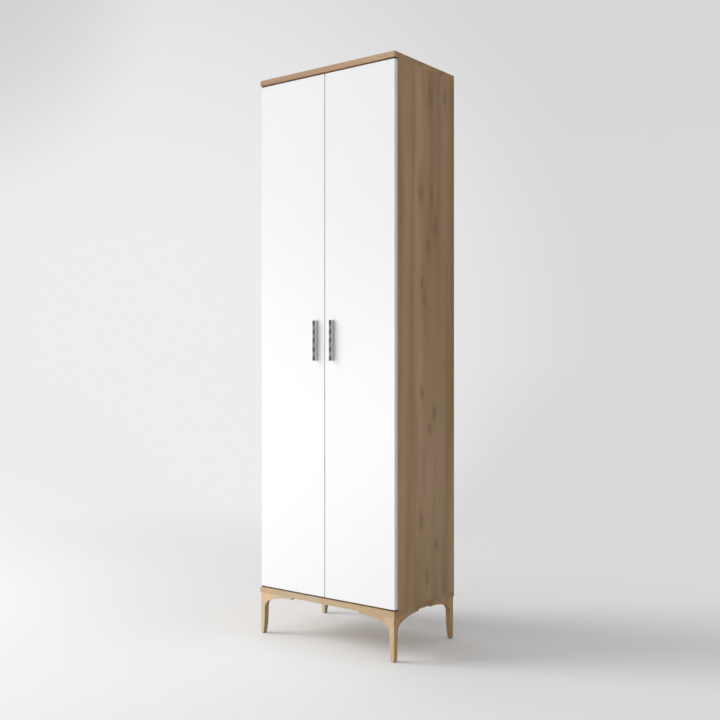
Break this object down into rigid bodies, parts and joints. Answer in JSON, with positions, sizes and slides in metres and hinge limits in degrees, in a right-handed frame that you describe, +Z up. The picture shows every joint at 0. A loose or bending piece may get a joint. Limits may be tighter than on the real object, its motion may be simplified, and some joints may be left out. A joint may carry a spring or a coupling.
{
  "type": "utility cabinet",
  "caption": "Tall narrow cabinet on low bracket legs, with full-height hinged doors, bar handles, a fixed shelf and adjustable shelves behind.",
  "frame": {"origin": "on the floor, under the middle of the cabinet", "axes": "+X to the right seen from the front, the doors face -Y, +Z up"},
  "size_m": [0.565, 0.3615, 1.9],
  "materials": {
    "oak_board": "matt oak-grain laminate",
    "back_hardboard": "printed hardboard",
    "white_plastic": "matt",
    "steel_fittings": "zinc plated",
    "cast_cams": "die-cast zinc",
    "beech_dowel": "raw",
    "leg_wood": "satin lacquered oak",
    "glide_plastic": "matt",
    "magnet": "ferrite",
    "door_white": "satin white",
    "handle_metal": "dark hammered"
  },
  "bodies": {
    "carcass": {"top_board": "oak_board", "bottom_board": "oak_board", "side_panel_left": "oak_board", "side_panel_right": "oak_board", "back_sheet_lower": "back_hardboard", "back_sheet_upper": "back_hardboard", "back_joining_strip": "white_plastic", "fixed_shelf": "oak_board", "adjustable_shelf_1": "oak_board", "adjustable_shelf_2": "oak_board", "adjustable_shelf_3": "oak_board", "adjustable_shelf_4": "oak_board", "shelf_pins": "steel_fittings", "cam_discs": "cast_cams", "cam_bolts": "steel_fittings", "wood_dowels": "beech_dowel", "leg_front_left": "leg_wood", "leg_front_right": "leg_wood", "leg_rear_left": "leg_wood", "leg_rear_right": "leg_wood", "leg_glides": "glide_plastic", "leg_screws": "steel_fittings", "board_hinge_leaves": "steel_fittings", "hinge_pins": "steel_fittings", "hinge_washers": "white_plastic", "board_hinge_screws": "steel_fittings", "catch_housings": "white_plastic", "catch_magnets": "magnet", "catch_screws": "steel_fittings"},
    "door_left": {"door_panel_left": "door_white", "door_hinge_leaves_left": "steel_fittings", "door_hinge_screws_left": "steel_fittings", "handle_left": "handle_metal", "handle_screws_left": "steel_fittings", "strike_plates_left": "steel_fittings", "strike_screws_left": "steel_fittings"},
    "door_right": {"door_panel_right": "door_white", "door_hinge_leaves_right": "steel_fittings", "door_hinge_screws_right": "steel_fittings", "handle_right": "handle_metal", "handle_screws_right": "steel_fittings", "strike_plates_right": "steel_fittings", "strike_screws_right": "steel_fittings"}
  },
  "joints": [
    {"name": "door_left_hinge", "type": "hinge", "parent": "carcass", "child": "door_left", "pos_m": [-0.275, -0.166, 1.02], "axis": [0, 0, -1], "range_deg": [0, 180]},
    {"name": "door_right_hinge", "type": "hinge", "parent": "carcass", "child": "door_right", "pos_m": [0.275, -0.166, 1.02], "axis": [0, 0, 1], "range_deg": [0, 180]}
  ]
}
